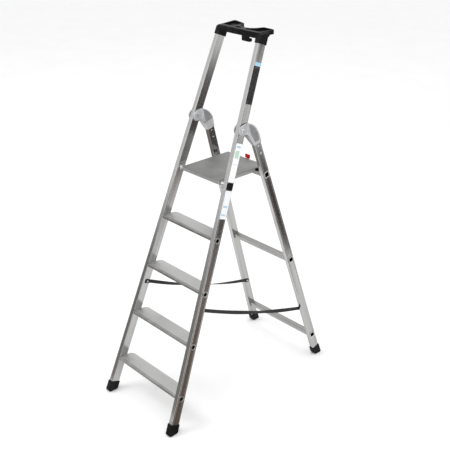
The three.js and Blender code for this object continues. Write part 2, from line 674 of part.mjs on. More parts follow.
function rightWell() {
  const { half, wall } = tray;
  const shape = new THREE.Shape();
  shape.moveTo(34, 12);
  shape.lineTo(half - wall - 7, 12);
  shape.quadraticCurveTo(half - wall, 12, half - wall, 20);
  shape.lineTo(half + 4 - wall, 74);
  shape.quadraticCurveTo(half + 4 - wall, 85, half - 14, 86);
  shape.lineTo(74, 88);
  shape.quadraticCurveTo(67, 88, 65, 80);
  shape.quadraticCurveTo(54, 35, 34, 31);
  shape.quadraticCurveTo(26, 30, 26, 22);
  shape.quadraticCurveTo(26, 12, 34, 12);
  return shape;
}

// Bucket hook under the right of the bar: a front wall, a floor and a low lip behind.
function trayHook() {
  const { x0, x1, front: face, back, drop, thick } = hook;
  const shape = outline([[face, -tray.bar + 4], [face, -drop + 3], [face + 3, -drop], [back - 3, -drop],
    [back, -drop + 3], [back, -drop + 13], [back - thick, -drop + 13], [back - thick, -drop + thick],
    [face + thick, -drop + thick], [face + thick, -tray.bar + 4]]);
  return alongX(shape, x0, x1);
}

// Sockets that fit over the stiles' tops; their outer sides lean in to the bar's ends.
function traySocket() {
  const w = 3;
  const sleeve = tapered(alongZ(roundedRect(-front.width - w, -w, w, front.depth + w, 3), tray.socket,
    tray.along + 40, 2), front.half);
  const wide = tray.half + 14.5;
  const ends = outline([[-tray.half, 0], [-wide, -9], [-wide - 20, -150], [wide + 20, -150], [wide, -9],
    [tray.half, 0]]);
  return common(sleeve, levelled(alongY(ends, -60, 160), 0, tray.along));
}

function trayBody() {
  const edge = 1.5;
  const body = new THREE.ExtrudeGeometry(trayPlan(), { depth: tray.bar - 2 * edge, bevelThickness: edge,
    bevelSize: edge, bevelOffset: -edge, bevelSegments: 1, curveSegments: 4 });
  body.translate(0, 0, -tray.bar + edge);
  const low = -tray.bar - 5;
  const underside = alongX(outline([[50, low], [130, low], [130, -tray.lobe], [62, -tray.lobe]]), -170, 170);
  const slot = alongZ(roundedRect(-42, 10, -6, 28, 8.5), -60, 6, 3);
  const hollow = alongX(outline([[6, low], [30, low], [30, -17], [6, -17]]), -100, 100);
  const top = join(cut(body, underside, slot, hollow), trayHook());
  const socket = traySocket();
  const shell = join(levelled(top, 0, tray.along), socket, mirrored(socket));
  const wells = [leftWell(), rightWell()].map((plan) => alongZ(plan, -tray.well, 6, 4));
  const [width, depth, end] = [front.width + gap, front.depth + gap, front.to + gap];
  const bore = tapered(block(-width, -gap, tray.socket - 20, gap, depth, end), front.half);
  return cut(shell, ...wells.map((well) => levelled(well, 0, tray.along)), bore, mirrored(bore));
}

// ---- labels ------------------------------------------------------------------------------------

function label(v0, v1, d0, d1) {
  const plate = alongX(roundedRect(d0, v0 / Math.cos(taper), d1, v1 / Math.cos(taper), 2), gap, gap + 0.4, 1);
  return tapered(plate, front.half);
}

// ---- assembly ----------------------------------------------------------------------------------

const ladder = new THREE.Group();
const frontFrame = new THREE.Group();
frontFrame.rotation.x = -frontLean;
const rearFrame = new THREE.Group();
rearFrame.position.set(0, hingeY, hingeZ);
rearFrame.rotation.x = rearLean;
const platform = new THREE.Group();
platform.position.set(0, deckY, deckZ);
const spanning = new THREE.Group();
ladder.add(frontFrame, rearFrame, platform, spanning);

function add(group, name, geometry, material) {
  const mesh = new THREE.Mesh(geometry, material);
  mesh.name = name;
  group.add(mesh);
}

function addPair(group, name, geometry, material) {
  add(group, `${name}_right`, geometry, material());
  add(group, `${name}_left`, mirrored(geometry), material());
}

addPair(frontFrame, 'front_stile', frontStile(), finishes.stile);
for (let k = 0; k < tread.count; k += 1) add(frontFrame, `tread_${k + 1}`, treadBody(k), finishes.tread());
addPair(frontFrame, 'front_foot', frontFoot(), finishes.black);
add(frontFrame, 'tool_tray', trayBody(), finishes.black());
addPair(frontFrame, 'hinge_bolt', hingeBolt(), finishes.steel);
addPair(frontFrame, 'hinge_nut', hingeNut(), finishes.steel);
addPair(frontFrame, 'hinge_bush', hingeBush(), finishes.black);
addPair(frontFrame, 'platform_pivot_plug', pivotPlug(), finishes.black);
addPair(frontFrame, 'platform_pivot_spacer', pivotSpacer(), finishes.black);
const strapSlope = Math.atan2(strapRoute().along[1], strapRoute().along[0]);
const frontTab = strapTab(strap.frontDepth, frontStation, front.width, strapSlope + frontLean);
const frontRivet = strapRivet(strap.frontDepth, frontStation, front.width);
addPair(frontFrame, 'strap_front_tab', tapered(frontTab, front.half), finishes.black);
addPair(frontFrame, 'strap_front_rivet', tapered(frontRivet, front.half), finishes.steel);
add(frontFrame, 'name_label', label(1557, 1726, 3.5, 41.5), finishes.brand());
add(frontFrame, 'band_label', label(1727, 1743, 3.5, 41.5), finishes.blue());
add(frontFrame, 'instruction_label', label(1206, 1382, 3.5, 41.5), finishes.white());
add(frontFrame, 'lower_label', label(1038, 1168, 3.5, 41.5), finishes.white());

addPair(rearFrame, 'rear_stile', rearStile(), finishes.stile);
for (let k = 0; k < bar.count; k += 1) add(rearFrame, `crossbar_${k + 1}`, crossbar(k), finishes.stile());
addPair(rearFrame, 'rear_foot', rearFoot(), finishes.black);
addPair(rearFrame, 'hinge_casting', castingBody(), finishes.casting);
addPair(rearFrame, 'casting_rivet_upper', castingRivet(castingRivets[0]), finishes.steel);
addPair(rearFrame, 'casting_rivet_lower', castingRivet(castingRivets[1]), finishes.steel);
const rearTab = tapered(strapTab(0, rearStation, rear.width, strapSlope - rearLean), rear.half);
const rearRivet = tapered(strapRivet(0, rearStation, rear.width), rear.half);
addPair(rearFrame, 'strap_rear_tab', rearTab.translate(0, rearMiddle, 0), finishes.black);
addPair(rearFrame, 'strap_rear_rivet', rearRivet.translate(0, rearMiddle, 0), finishes.steel);

add(platform, 'platform_deck', platformDeck(), finishes.deck());
add(platform, 'platform_axle', platformAxle(), finishes.steel());
addPair(platform, 'platform_saddle', platformSaddle(), finishes.black);
add(platform, 'latch_lever', latchLever(), finishes.red());
add(platform, 'latch_pin', latchPinBody(), finishes.steel());
add(platform, 'latch_spring', latchSpring(), finishes.steel());

addPair(spanning, 'strap', strapBand(), finishes.webbing);

// The origin is on the floor in the middle of the ladder's footprint.
ladder.updateMatrixWorld(true);
const footprint = new THREE.Box3().setFromObject(ladder, true).getCenter(new THREE.Vector3());
ladder.position.y = -footprint.y;
const group = new THREE.Group();
group.add(ladder);
group.updateMatrixWorld(true);

export default group;
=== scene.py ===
import json
import math
import bpy
from mathutils import Matrix, Vector


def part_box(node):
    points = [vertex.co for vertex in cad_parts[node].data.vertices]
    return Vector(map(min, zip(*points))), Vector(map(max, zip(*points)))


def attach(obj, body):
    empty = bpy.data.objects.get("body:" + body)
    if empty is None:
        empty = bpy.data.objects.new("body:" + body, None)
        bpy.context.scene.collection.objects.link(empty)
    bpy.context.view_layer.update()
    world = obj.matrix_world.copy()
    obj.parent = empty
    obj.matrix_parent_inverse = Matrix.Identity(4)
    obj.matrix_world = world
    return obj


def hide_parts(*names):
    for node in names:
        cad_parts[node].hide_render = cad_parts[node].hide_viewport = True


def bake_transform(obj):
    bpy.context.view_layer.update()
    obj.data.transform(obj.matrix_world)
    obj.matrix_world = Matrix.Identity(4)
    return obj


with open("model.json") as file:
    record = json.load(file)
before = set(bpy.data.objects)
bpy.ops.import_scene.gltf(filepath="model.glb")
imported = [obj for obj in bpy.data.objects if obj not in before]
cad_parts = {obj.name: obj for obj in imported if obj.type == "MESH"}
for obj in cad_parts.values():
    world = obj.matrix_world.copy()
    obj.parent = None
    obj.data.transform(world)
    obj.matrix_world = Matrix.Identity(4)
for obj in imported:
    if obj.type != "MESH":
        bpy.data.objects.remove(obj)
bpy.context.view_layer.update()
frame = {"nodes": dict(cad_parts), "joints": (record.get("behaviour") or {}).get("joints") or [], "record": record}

sides = {"right": 1, "left": -1}
joints = {joint["name"]: joint for joint in frame["joints"]}
hingePoint = Vector(joints["rear_fold"]["pos_m"])
platformPoint = Vector(joints["platform_fold"]["pos_m"])

ladder = {
    "frontLean": math.radians(21.7),   # front frame from the vertical, top towards the rear
    "rearLean": math.radians(16.6),    # rear frame from the vertical, feet towards the rear
    "taper": math.radians(3.36),       # each stile's lean inwards
    "hingeDepth": 0.019,               # hinge behind the front frame's face
    "hingeAlong": 1.440,               # hinge up the front frame
    "frontHalf": 0.2505,               # outer faces from the middle at the floor
    "rearHalf": 0.1645,                # outer faces from the middle at the hinge's height
    "stileWidth": 0.023,
}

# Each frame's own axes: X across, Y through its depth, Z up along it.
frontTurn = Matrix.Rotation(-ladder["frontLean"], 4, "X")
rearTurn = Matrix.Rotation(ladder["rearLean"], 4, "X")
frontFoot = hingePoint - frontTurn @ Vector((0, ladder["hingeDepth"], ladder["hingeAlong"]))
frontAxes = Matrix.Translation(frontFoot) @ frontTurn
rearAxes = Matrix.Translation(hingePoint) @ rearTurn

# The right front stile's own axes, from its foot, which carries the labels.
rightFoot = Matrix.Translation((ladder["frontHalf"], 0, 0)) @ Matrix.Rotation(-ladder["taper"], 4, "Y")
rightStileAxes = frontAxes @ rightFoot


camera = {
    "azimuth": math.radians(48.22),
    "elevation": math.radians(24.7),
    "roll": math.radians(-0.91),
    "distance": 3.937,
    "target": Vector((0.0724, -0.0003, 0.8742)),
    "lens": 67.3,
    "sensor": 36,
    "farthest": 200,
    "shift": (0.0022, -0.0097),
}


def makeCamera():
    azimuth, elevation = camera["azimuth"], camera["elevation"]
    back = Vector((math.sin(azimuth) * math.cos(elevation), -math.cos(azimuth) * math.cos(elevation),
                   math.sin(elevation)))
    right = (-back).cross(Vector((0, 0, 1))).normalized()
    up = back.cross(right)
    turn = Matrix((right, up, back)).transposed() @ Matrix.Rotation(camera["roll"], 3, "Z")
    data = bpy.data.cameras.new("camera")
    data.lens = camera["lens"]
    data.sensor_width = camera["sensor"]
    data.shift_x, data.shift_y = camera["shift"]
    data.clip_end = camera["farthest"]
    eye = bpy.data.objects.new("camera", data)
    bpy.context.collection.objects.link(eye)
    eye.matrix_world = Matrix.Translation(camera["target"] + back * camera["distance"]) @ turn.to_4x4()
    bpy.context.scene.camera = eye


studio = {
    "floorSide": 80,
    "sky": 1.02,
    # place, point aimed at, width, height, power
    "lamps": {
        "key": ((-2.0, -2.6, 5.4), (0, 0, 0.8), 2.4, 2.4, 90),
        "fill": ((4.6, -2.6, 2.4), (0, 0, 0.9), 2.0, 2.6, 20),
        "top": ((0.4, 0.6, 5.0), (0, 0, 0.8), 3.0, 3.0, 35),
    },
    # dark cards laid round the ladder, seen only in bare metal:
    # middle, turn about the vertical, length, width, grey
    "cards": {
        "card_near": ((1.085, 0.45), 48.2, 3.4, 0.42, (0.12, 0.095, 0.08)),
        "card_far": ((2.38, 2.31), 48.2, 2.7, 2.3, (0.060, 0.052, 0.048)),
        "card_front": ((-2.75, -3.87), 49.9, 7.5, 5.0, (0.15, 0.138, 0.13)),
    },
    # a grey wall all round at a distance, seen only in bare metal
    "wall": {
        "radius": 9,
        "height": 3.4,
        "sides": 64,
        "low": (0.26, 0.255, 0.25),
        "high": (0.95, 0.95, 0.95),
        "ramp": (1.3, 2.6),        # heights between which it grows light
        "cloth": (0.6, 3),
        "sway": 0.4,
    },
    "cardLift": 0.004,
}


def aimed(place, target):
    direction = Vector(target) - Vector(place)
    return direction.to_track_quat("-Z", "Y").to_euler()


def onlyInMetal(card, material):
    card.visible_camera = False
    card.visible_shadow = False
    card.visible_diffuse = False
    card.data.materials.append(material)


def makeFloor():
    deselect()
    bpy.ops.mesh.primitive_plane_add(size=studio["floorSide"])
    floor = bpy.context.object
    floor.name = "floor"
    floor.data.materials.append(floorFinish())


def makeLight():
    world = bpy.data.worlds.new("studio")
    world.use_nodes = True
    sky = world.node_tree.nodes["Background"]
    sky.inputs["Color"].default_value = (1.0, 1.0, 1.0, 1)
    sky.inputs["Strength"].default_value = studio["sky"]
    bpy.context.scene.world = world
    bpy.context.scene.view_settings.view_transform = "Standard"
    for name, (place, target, width, height, power) in studio["lamps"].items():
        data = bpy.data.lights.new(name, "AREA")
        data.shape = "RECTANGLE"
        data.size, data.size_y = width, height
        data.energy = power
        lamp = bpy.data.objects.new(name, data)
        lamp.location = place
        lamp.rotation_euler = aimed(place, target)
        bpy.context.collection.objects.link(lamp)


# What bare metal mirrors besides the white floor and sky: cards on the floor and a far wall.
def makeSurroundings():
    for name, ((x, y), turn, length, width, grey) in studio["cards"].items():
        deselect()
        bpy.ops.mesh.primitive_plane_add(size=1, location=(x, y, studio["cardLift"]),
                                         rotation=(0, 0, math.radians(turn)))
        card = bpy.context.object
        card.name = name
        card.scale = (length, width, 1)
        onlyInMetal(card, cardFinish(name, grey))
    wall = studio["wall"]
    deselect()
    bpy.ops.mesh.primitive_cylinder_add(vertices=wall["sides"], radius=wall["radius"], depth=wall["height"],
                                        end_fill_type="NOTHING", location=(0, 0, wall["height"] / 2))
    bpy.ops.object.transform_apply(location=True)
    bpy.context.object.name = "wall"
    onlyInMetal(bpy.context.object, wallFinish())


# A node's output that takes part in Python expressions.
class Signal:
    def __init__(self, finish, socket):
        self.finish = finish
        self.socket = socket

    def combine(self, operation, first, second):
        return self.finish.node("ShaderNodeMath", {"operation": operation}, {0: first, 1: second})

    def __add__(self, other):
        return self.combine("ADD", self, other)

    def __radd__(self, other):
        return self.combine("ADD", other, self)

    def __sub__(self, other):
        return self.combine("SUBTRACT", self, other)

    def __mul__(self, other):
        return self.combine("MULTIPLY", self, other)

    def __rmul__(self, other):
        return self.combine("MULTIPLY", other, self)

    def __pow__(self, other):
        return self.combine("POWER", self, other)

    def above(self, edge):
        return self.combine("GREATER_THAN", self, edge)

    def below(self, edge):
        return self.combine("LESS_THAN", self, edge)

    def wave(self):
        return self.combine("SINE", self, 0)

    def size(self):
        return self.combine("ABSOLUTE", self, 0)


# One material in the making: its shader, and the nodes that feed it.
class Finish:
    def __init__(self, name, values):
        self.material = bpy.data.materials.new(name)
        self.material.use_nodes = True
        self.tree = self.material.node_tree
        self.shader = self.tree.nodes["Principled BSDF"]
        for socket, value in values.items():
            self.shader.inputs[socket].default_value = value

    def node(self, kind, settings, values, output=0):
        made = self.tree.nodes.new(kind)
        for name, value in settings.items():
            setattr(made, name, value)
        for name, value in values.items():
            if isinstance(value, Signal):
                self.tree.links.new(value.socket, made.inputs[name])
            else:
                made.inputs[name].default_value = value
        return Signal(self, made.outputs[output])

    def feed(self, socket, signal):
        self.tree.links.new(signal.socket, self.shader.inputs[socket])

    def places(self):
        return self.node("ShaderNodeTexCoord", {}, {}, "Object")

    # Places in axes of their own: turned, drawn out along each axis, and counted from an origin.
    def along(self, turn, drawn, origin=(0, 0, 0)):
        return self.node("ShaderNodeMapping", {"vector_type": "TEXTURE"},
                         {"Vector": self.places(), "Rotation": turn, "Scale": drawn, "Location": origin})

    def noise(self, places, scale, detail, roughness=0.5):
        return self.node("ShaderNodeTexNoise", {},
                         {"Vector": places, "Scale": scale, "Detail": detail, "Roughness": roughness})

    def split(self, places, axis):
        return self.node("ShaderNodeSeparateXYZ", {}, {"Vector": places}, axis)

    # Runs from low to high while the signal goes from one edge to the other.
    def range(self, signal, start, end, low=0.0, high=1.0):
        return self.node("ShaderNodeMapRange", {"clamp": True},
                         {"Value": signal, "From Min": start, "From Max": end, "To Min": low, "To Max": high})

    def tint(self, mask, first, second):
        first, second = (((*shade, 1) if isinstance(shade, tuple) else shade) for shade in (first, second))
        return self.node("ShaderNodeMix", {"data_type": "RGBA"}, {0: mask, 6: first, 7: second}, 2)

    def relief(self, height, depth):
        values = {"Height": height, "Distance": depth, "Strength": 1.0}
        return self.node("ShaderNodeBump", {}, values, "Normal")


def eulerOf(matrix):
    return tuple(matrix.to_euler("XYZ"))


# The axes of a stile: across it, through its depth, and along it.
def stileTurn(whichFrame, side):
    lean = -ladder["frontLean"] if whichFrame == "front" else ladder["rearLean"]
    turn = Matrix.Rotation(lean, 3, "X") @ Matrix.Rotation(-side * ladder["taper"], 3, "Y")
    return eulerOf(turn)


def scaled(colour, factor):
    return tuple(part * factor for part in colour)


# In every look below a noise is its scale, detail and roughness, and a spread is the two values of it
# between which one shade turns into the other, then how far the change goes where it isn't whole.
floorLook = {
    "mottle": (3, 3),
    "spread": (0.3, 0.7),
    "shades": ((0.90, 0.90, 0.90), (0.92, 0.92, 0.92)),
}


def floorFinish():
    finish = Finish("floor_paper", {"Roughness": 0.9, "Specular IOR Level": 0.1})
    mottle = finish.noise(finish.places(), *floorLook["mottle"])
    finish.feed("Base Color", finish.tint(finish.range(mottle, *floorLook["spread"]), *floorLook["shades"]))
    return finish.material


cardLook = {"cloth": (5, 3), "lighter": 1.6}


def cardFinish(name, grey):
    finish = Finish(name, {"Roughness": 1.0, "Specular IOR Level": 0.0})
    cloth = finish.noise(finish.places(), *cardLook["cloth"])
    finish.feed("Base Color", finish.tint(cloth, grey, scaled(grey, cardLook["lighter"])))
    return finish.material


def wallFinish():
    wall = studio["wall"]
    finish = Finish("wall", {"Roughness": 1.0, "Specular IOR Level": 0.0})
    cloth = finish.noise(finish.places(), *wall["cloth"])
    height = finish.split(finish.places(), "Z") + cloth * wall["sway"]
    finish.feed("Base Color", finish.tint(finish.range(height, *wall["ramp"]), wall["low"], wall["high"]))
    return finish.material


extrusionLook = {
    # how far each noise is drawn out along the profile, then the noise
    "lines": (260, (1700, 2, 0.6)),
    "bands": (60, (85, 2, 0.5)),
    "marks": (3, (14, 4, 0.65)),
    "bandSpread": (0.36, 0.64),
    "bandShades": (0.86, 1.12),
    "lineSpread": (0.42, 0.72, 0.0, 0.3),
    "lineShade": 0.7,
    "markSpread": (0.35, 0.8),
    "markRough": 0.04,
    "lineRough": 0.02,
    "bandRough": 0.02,
    "relief": 0.000003,
}
barLook = {
    "turn": (0, math.pi / 2, 0),       # its profile runs across the ladder
    # darker than the stiles' aluminium: painted shade of the rear frame
    "metal": (0.36, 0.357, 0.35),
    "shine": 0.22,
    "ring": (0.78, 0.78, 0.77),        # flared end, hammered bright
    "ringThick": 0.0024,
    "ringRough": 0.3,
    # painted shade: the tube's inside is coloured near black
    "hollow": (0.012, 0.012, 0.012),
    "bore": 0.0108,                    # half the square tube's opening
}


# Bare extruded aluminium: die lines along the length, faint bands, a few dull handling marks.
# A crossbar also gives its middle and its reach, for bright flared ends and painted shade inside the tube.
def extrusionFinish(name, turn, colour, shine, tube=None):
    look = extrusionLook
    finish = Finish(name, {"Metallic": 1.0, "Specular IOR Level": 0.5})
    lines, bands, marks = (finish.noise(finish.along(turn, (1, 1, drawn)), *grain)
                           for drawn, grain in (look["lines"], look["bands"], look["marks"]))
    dull, bright = (scaled(colour, factor) for factor in look["bandShades"])
    shade = finish.tint(finish.range(bands, *look["bandSpread"]), dull, bright)
    shade = finish.tint(finish.range(lines, *look["lineSpread"]), shade, scaled(colour, look["lineShade"]))
    rough = shine + look["markRough"] * finish.range(marks, *look["markSpread"])
    rough = rough + look["lineRough"] * lines + look["bandRough"] * bands
    if tube:
        middle, reach = tube
        own = finish.along(stileTurn("rear", 0), (1, 1, 1), middle)
        across, depth, height = (finish.split(own, axis) for axis in "XYZ")
        bore = barLook["bore"] ** 2
        ring = (across ** 2).above((reach - barLook["ringThick"]) ** 2)
        inside = (depth ** 2).below(bore) * (height ** 2).below(bore)
        # painted shade: inside the tube's opening the colour turns near black
        shade = finish.tint(inside, finish.tint(ring, shade, barLook["ring"]), barLook["hollow"])
        rough = rough + barLook["ringRough"] * ring
    finish.feed("Base Color", shade)
    finish.feed("Roughness", rough)
    finish.feed("Normal", finish.relief(lines, look["relief"]))
    return finish.material


treads = {
    "count": 4,
    "first": 0.187,          # stations of the treads' tubes up the front frame
    "pitch": 0.250,
    "depth": 0.0225,
}
treadLook = {
    "drawn": (240, 1, 1),
    "lines": (1500, 2, 0.6),
    "wear": (22, 4, 0.6),
    "dust": (60, 5, 0.7),
    "wearSpread": (0.38, 0.66),
    "wearShades": ((0.28, 0.28, 0.276), (0.37, 0.37, 0.363)),
    "dustSpread": (0.55, 0.8, 0.0, 0.55),
    "dustShade": (0.3, 0.29, 0.27),
    "lipFrom": 0.0075,       # lip's two edges, ahead of the tube's axis: polished smoother, with a painted highlight
    "lipTo": 0.0105,
    # the lip's lighter colour is a painted highlight
    "lipHighlightMix": 0.75,
    "lipHighlight": (0.62, 0.62, 0.61),
    # painted shade inside the tread's tube
    "tubeInside": 0.0096,
    "hollow": (0.012, 0.012, 0.012),
    "rough": 0.36,
    "wearRough": (0.35, 0.7, 0.0, 0.2),
    "lineRough": 0.08,
    "lipSmooth": 0.1,
    "hollowRough": 0.3,
    "relief": 0.00001,
}


# Ribbed tread: lengthwise lines, front lip polished smoother by shoes and painted lighter as a painted highlight,
# dust in the grooves, painted shade inside its tube.
def treadFinish(name, tubePoint):
    look = treadLook
    finish = Finish(name, {"Metallic": 0.9})
    lines = finish.noise(finish.along((0, 0, 0), look["drawn"]), *look["lines"])
    wear = finish.noise(finish.places(), *look["wear"])
    dust = finish.noise(finish.places(), *look["dust"])
    shade = finish.tint(finish.range(wear, *look["wearSpread"]), *look["wearShades"])
    shade = finish.tint(finish.range(dust, *look["dustSpread"]), shade, look["dustShade"])
    depth, height = (finish.split(finish.places(), axis) for axis in "YZ")
    lip = finish.range(depth, tubePoint.y - look["lipTo"], tubePoint.y - look["lipFrom"])
    # painted highlight: the lip is coloured lighter; its lower roughness below is real polish
    shade = finish.tint(lip * look["lipHighlightMix"], shade, look["lipHighlight"])
    fromAxis = (depth - tubePoint.y) ** 2 + (height - tubePoint.z) ** 2
    inTube = fromAxis.below(look["tubeInside"] ** 2)
    rough = look["rough"] + finish.range(wear, *look["wearRough"]) + look["lineRough"] * lines
    # painted shade: inside the tube the colour turns near black
    finish.feed("Base Color", finish.tint(inTube, shade, look["hollow"]))
    finish.feed("Roughness", rough - look["lipSmooth"] * lip + look["hollowRough"] * inTube)
    finish.feed("Normal", finish.relief(lines, look["relief"]))
    return finish.material


deckLook = {
    "aboveAxis": 0.018,      # its standing surface over the pivot axis
    "roll": 0.0025,          # how far down the folded edge turns
    "rolledDrawn": (1, 40, 1),
    "rolled": (420, 3, 0.6),
    "cloud": (9, 4, 0.6),
    "scuffTurn": (0, 0, 0.6),
    "scuffDrawn": (1, 14, 1),
    "scuffs": (120, 4, 0.7),
    "cloudSpread": (0.35, 0.65),
    "cloudShades": ((0.22, 0.22, 0.218), (0.29, 0.29, 0.285)),
    "scuffSpread": (0.62, 0.8, 0.0, 0.6),
    "scuffShade": (0.4, 0.4, 0.395),
    # painted light: the flanges are coloured lighter than the top
    "flangeLighten": 0.85,
    "flangePaintedLight": (0.5, 0.5, 0.495),
    "rough": 0.42,
    "rougher": 0.12,
    "relief": 0.00002,
}


# Dull rolled sheet of the platform, with scuffs from shoes; its flanges are painted lighter than the top as
# painted light.
def deckFinish():
    look = deckLook
    finish = Finish("deck_aluminium", {"Metallic": 0.75})
    rolled = finish.noise(finish.along((0, 0, 0), look["rolledDrawn"]), *look["rolled"])
    cloud = finish.noise(finish.places(), *look["cloud"])
    scuffs = finish.noise(finish.along(look["scuffTurn"], look["scuffDrawn"]), *look["scuffs"])
    shade = finish.tint(finish.range(cloud, *look["cloudSpread"]), *look["cloudShades"])
    shade = finish.tint(finish.range(scuffs, *look["scuffSpread"]), shade, look["scuffShade"])
    flange = finish.split(finish.places(), "Z").below(platformPoint.z + look["aboveAxis"] - look["roll"])
    # painted light: below the standing surface the sheet is coloured lighter
    finish.feed("Base Color", finish.tint(flange * look["flangeLighten"], shade, look["flangePaintedLight"]))
    finish.feed("Roughness", look["rough"] + look["rougher"] * rolled + look["rougher"] * cloud)
    finish.feed("Normal", finish.relief(rolled, look["relief"]))
    return finish.material


castingLook = {
    "outerPanel": (0.1702, 0.1712),   # floors of the sunk panels, from the middle of the ladder
    "innerPanel": (0.1378, 0.1388),
    "edge": 0.0016,
    "edgeSteps": 3,
    "edgeAngle": 50,
    "grain": (900, 3, 0.6),
    "flow": (55, 4, 0.6),
    # mottle of the painted shade in the sunk panels
    "recessMottle": (160, 3, 0.6),
    "flowSpread": (0.35, 0.68),
    "flowShades": ((0.53, 0.535, 0.55), (0.68, 0.685, 0.70)),
    "recessShadeSpread": (0.2, 0.75, 0.45, 0.95),
    "recessPaintedShade": (0.2, 0.205, 0.215),
    "rough": 0.42,
    "flowRough": 0.12,
    "grainRough": 0.05,
    "relief": 0.00004,
}


# Pressure die casting, tumbled: fine grain, slightly blue, with mottled painted shade in its sunk panels.
def castingFinish():
    look = castingLook
    finish = Finish("cast_aluminium", {"Metallic": 0.6})
    grain = finish.noise(finish.places(), *look["grain"])
    flow = finish.noise(finish.places(), *look["flow"])
    recessMottle = finish.noise(finish.places(), *look["recessMottle"])
    shade = finish.tint(finish.range(flow, *look["flowSpread"]), *look["flowShades"])
    across = finish.split(finish.places(), "X").size()
    outer, inner = (across.above(low) * across.below(high)
                    for low, high in (look["outerPanel"], look["innerPanel"]))
    # painted shade: the sunk panels' floors are coloured darker
    sunk = finish.range(recessMottle, *look["recessShadeSpread"]) * (outer + inner)
    finish.feed("Base Color", finish.tint(sunk, shade, look["recessPaintedShade"]))
    finish.feed("Roughness", look["rough"] + look["flowRough"] * flow + look["grainRough"] * grain)
    finish.feed("Normal", finish.relief(grain, look["relief"]))
    return finish.material


zincLook = {
    "stain": (240, 4, 0.6),
    "spread": (0.4, 0.7),
    "shades": ((0.72, 0.73, 0.74), (0.6, 0.61, 0.6)),
    "rough": 0.26,
    "stainRough": 0.16,
    "relief": 0.00004,
}


def zincFinish():
    look = zincLook
    finish = Finish("zinc_steel", {"Metallic": 1.0})
    stain = finish.noise(finish.places(), *look["stain"])
    finish.feed("Base Color", finish.tint(finish.range(stain, *look["spread"]), *look["shades"]))
    finish.feed("Roughness", look["rough"] + look["stainRough"] * stain)
    finish.feed("Normal", finish.relief(stain, look["relief"]))
    return finish.material


plasticLook = {
    # name, shade, shade under dust, roughness
    "plastic": ("black_plastic", (0.005, 0.005, 0.0055), (0.014, 0.014, 0.0145), 0.36),
    "rubber": ("foot_rubber", (0.006, 0.006, 0.006), (0.018, 0.0175, 0.0165), 0.5),
    "red": ("red_plastic", (0.5, 0.012, 0.015), (0.62, 0.03, 0.03), 0.35),
    "texture": (1400, 2, 0.5),
    "dust": (35, 5, 0.65),
    "dustSpread": (0.45, 0.75),
    "dustRough": 0.14,
    "relief": 0.00002,
}


# Moulded plastic with a fine spark-eroded texture and a little dust.
def plasticFinish(kind):
    look = plasticLook
    name, dark, light, rough = look[kind]
    finish = Finish(name, {"Specular IOR Level": 0.12})
    texture = finish.noise(finish.places(), *look["texture"])
    dust = finish.noise(finish.places(), *look["dust"])
    finish.feed("Base Color", finish.tint(finish.range(dust, *look["dustSpread"]), dark, light))
    finish.feed("Roughness", rough + look["dustRough"] * dust)
    finish.feed("Normal", finish.relief(texture, look["relief"]))
    return finish.material


labelLook = {
    "patch": (0.009, 0.034),           # a patch's two sides, behind the stile's front face
    "age": (90, 4, 0.6),
    "scuffDrawn": (1, 1, 12),
    "scuffs": (400, 3, 0.6),
    "ageSpread": (0.5, 0.8, 0.0, 0.16),
    "ageShade": (0.4, 0.39, 0.36),
    "scuffSpread": (0.62, 0.8, 0.0, 0.25),
    "scuffShade": (0.5, 0.5, 0.5),
    "rough": 0.34,
    "ageRough": 0.2,
    "relief": 0.00003,
}


# Printed film of a label: plain patches stacked along the stile, no marks on them, scuffed by handling.
def labelFinish(name, bands):
    look = labelLook
    finish = Finish(name, {"Specular IOR Level": 0.4})
    turn = eulerOf(rightStileAxes.to_3x3())
    place = finish.along(turn, (1, 1, 1), rightStileAxes.translation)
    along, depth = finish.split(place, "Z"), finish.split(place, "Y")
    nearSide, farSide = look["patch"]
    shade = bands[0][2]
    for start, end, colour in bands[1:]:
        inset = depth.above(nearSide) * depth.below(farSide)
        shade = finish.tint(along.above(start) * along.below(end) * inset, shade, colour)
    age = finish.noise(finish.places(), *look["age"])
    scuffs = finish.noise(finish.along(turn, look["scuffDrawn"]), *look["scuffs"])
    shade = finish.tint(finish.range(age, *look["ageSpread"]), shade, look["ageShade"])
    shade = finish.tint(finish.range(scuffs, *look["scuffSpread"]), shade, look["scuffShade"])
    finish.feed("Base Color", shade)
    finish.feed("Roughness", look["rough"] + look["ageRough"] * age)
    finish.feed("Normal", finish.relief(age, look["relief"]))
    return finish.material


def deselect():
    if bpy.context.object and bpy.context.object.mode != "OBJECT":
        bpy.ops.object.mode_set(mode="OBJECT")
    bpy.ops.object.select_all(action="DESELECT")


def select(piece):
    deselect()
    piece.select_set(True)
    bpy.context.view_layer.objects.active = piece


def applyModifier(piece, kind, **settings):
    select(piece)
    modifier = piece.modifiers.new(kind.lower(), kind)
    for name, value in settings.items():
        setattr(modifier, name, value)
    bpy.ops.object.modifier_apply(modifier=modifier.name)


meshCare = {
    "newMerge": 0.000005,      # points closer than this become one
    "nodeMerge": 0.00002,
    "flatUnder": 0.6,          # degrees
    "smoothUnder": 32,
    "turnedSides": 28,
}


# Smooth over small angles, with flat faces kept truly flat.
def smooth(piece):
    select(piece)
    bpy.ops.object.shade_smooth_by_angle(angle=math.radians(meshCare["smoothUnder"]))
    applyModifier(piece, "WEIGHTED_NORMAL", keep_sharp=True, weight=100)


# Goes into edit mode with the whole mesh selected.
def startEdit(piece):
    select(piece)
    bpy.ops.object.mode_set(mode="EDIT")
    bpy.context.tool_settings.mesh_select_mode = (False, False, True)
    bpy.ops.mesh.select_all(action="SELECT")


